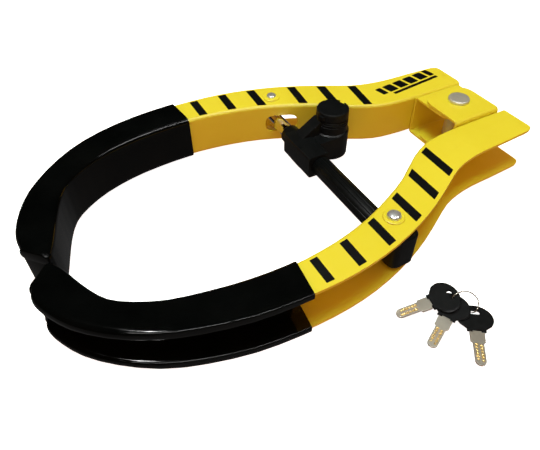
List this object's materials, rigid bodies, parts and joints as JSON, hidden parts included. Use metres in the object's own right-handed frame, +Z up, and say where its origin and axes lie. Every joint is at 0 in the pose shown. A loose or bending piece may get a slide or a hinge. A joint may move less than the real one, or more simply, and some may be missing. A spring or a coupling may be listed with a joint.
{
  "type": "claw wheel lock",
  "caption": "Hinged claw lock: curved channel arms with soft jaw covers, tied by a key-locked telescoping bar.",
  "frame": {"origin": "centre of the hinge pin's lower head, on the hinge axis, in the plane it rests on", "axes": "+Z up along the hinge axis; -X from the hinge towards the jaws; +Y towards the rear arm"},
  "size_m": [0.5402, 0.4195, 0.067],
  "materials": {
    "bar_end_block": "satin black",
    "bar_sheath": "satin black",
    "bar_tube": "satin",
    "cap_pin": "satin",
    "dust_cap": "satin black",
    "front_arm": "glossy powder coat",
    "front_hinge_bracket": "glossy powder coat",
    "front_jaw_cover": "glossy dipped vinyl",
    "front_pivot_rivet": "polished",
    "front_rivet_washer": "satin",
    "hinge_pin": "satin",
    "hinge_spacer": "satin",
    "key_a_blade": "nickel plated",
    "key_a_bow": "satin black",
    "key_b_blade": "nickel plated",
    "key_b_bow": "satin black",
    "key_c_blade": "nickel plated",
    "key_c_bow": "satin black",
    "key_ring": "satin",
    "latch_bolt": "satin",
    "lock_barrel": "satin",
    "lock_cam": "satin",
    "lock_housing": "satin black",
    "lock_plug": "satin",
    "lock_rod": "polished",
    "rear_arm": "glossy powder coat",
    "rear_hinge_bracket": "glossy powder coat",
    "rear_jaw_cover": "glossy dipped vinyl",
    "rear_pivot_rivet": "polished",
    "rear_rivet_washer": "satin",
    "rod_collar": "satin black"
  },
  "bodies": {
    "front_assembly": {"front_arm": "front_arm", "front_jaw_cover": "front_jaw_cover", "front_hinge_bracket": "front_hinge_bracket", "hinge_pin": "hinge_pin", "hinge_spacer": "hinge_spacer", "front_pivot_rivet": "front_pivot_rivet", "front_rivet_washer": "front_rivet_washer"},
    "rear_assembly": {"rear_arm": "rear_arm", "rear_jaw_cover": "rear_jaw_cover", "rear_hinge_bracket": "rear_hinge_bracket", "rear_pivot_rivet": "rear_pivot_rivet", "rear_rivet_washer": "rear_rivet_washer"},
    "rod": {"lock_rod": "lock_rod"},
    "bar": {"bar_tube": "bar_tube", "bar_sheath": "bar_sheath", "bar_end_block": "bar_end_block", "lock_housing": "lock_housing", "rod_collar": "rod_collar", "lock_barrel": "lock_barrel", "cap_pin": "cap_pin"},
    "plug": {"lock_plug": "lock_plug", "lock_cam": "lock_cam"},
    "latch": {"latch_bolt": "latch_bolt"},
    "cap": {"dust_cap": "dust_cap"},
    "key_set": {"key_a_blade": "key_a_blade", "key_a_bow": "key_a_bow", "key_b_blade": "key_b_blade", "key_b_bow": "key_b_bow", "key_c_blade": "key_c_blade", "key_c_bow": "key_c_bow", "key_ring": "key_ring"}
  },
  "joints": [
    {"name": "arm_hinge", "type": "hinge", "parent": "front_assembly", "child": "rear_assembly", "pos_m": [0, 0, 0.0273], "axis": [0, 0, -1], "range_deg": [0, 23.5]},
    {"name": "rod_swing", "type": "hinge", "parent": "rear_assembly", "child": "rod", "pos_m": [-0.189, 0.1195, 0.0273], "axis": [0, 0, 1], "range_deg": [0, 11.76]},
    {"name": "bar_swing", "type": "hinge", "parent": "front_assembly", "child": "bar", "pos_m": [-0.189, -0.1195, 0.0273], "axis": [0, 0, 1], "range_deg": [-11.76, 0]},
    {"name": "plug_turn", "type": "hinge", "parent": "bar", "child": "plug", "pos_m": [-0.1495, 0.045, 0.033], "axis": [0, 0, -1], "range_deg": [0, 90]},
    {"name": "latch_slide", "type": "slide", "parent": "bar", "child": "latch", "axis": [-1, 0, 0], "range_m": [0, 0.00201]},
    {"name": "cap_flip", "type": "hinge", "parent": "bar", "child": "cap", "pos_m": [-0.13466, 0.04982, 0.062], "axis": [-0.309, 0.9511, 0], "range_deg": [0, 100]},
    {"name": "keys_lift", "type": "slide", "parent": "front_assembly", "child": "key_set", "axis": [0, 0, 1], "range_m": [0, 0.12]}
  ],
  "couplings": [
    {"joint": "rod_swing", "follows": "arm_hinge", "ratio": 0.5},
    {"joint": "bar_swing", "follows": "arm_hinge", "ratio": -0.5},
    {"joint": "latch_slide", "follows": "plug_turn", "m_per_rad": 0.001273}
  ]
}
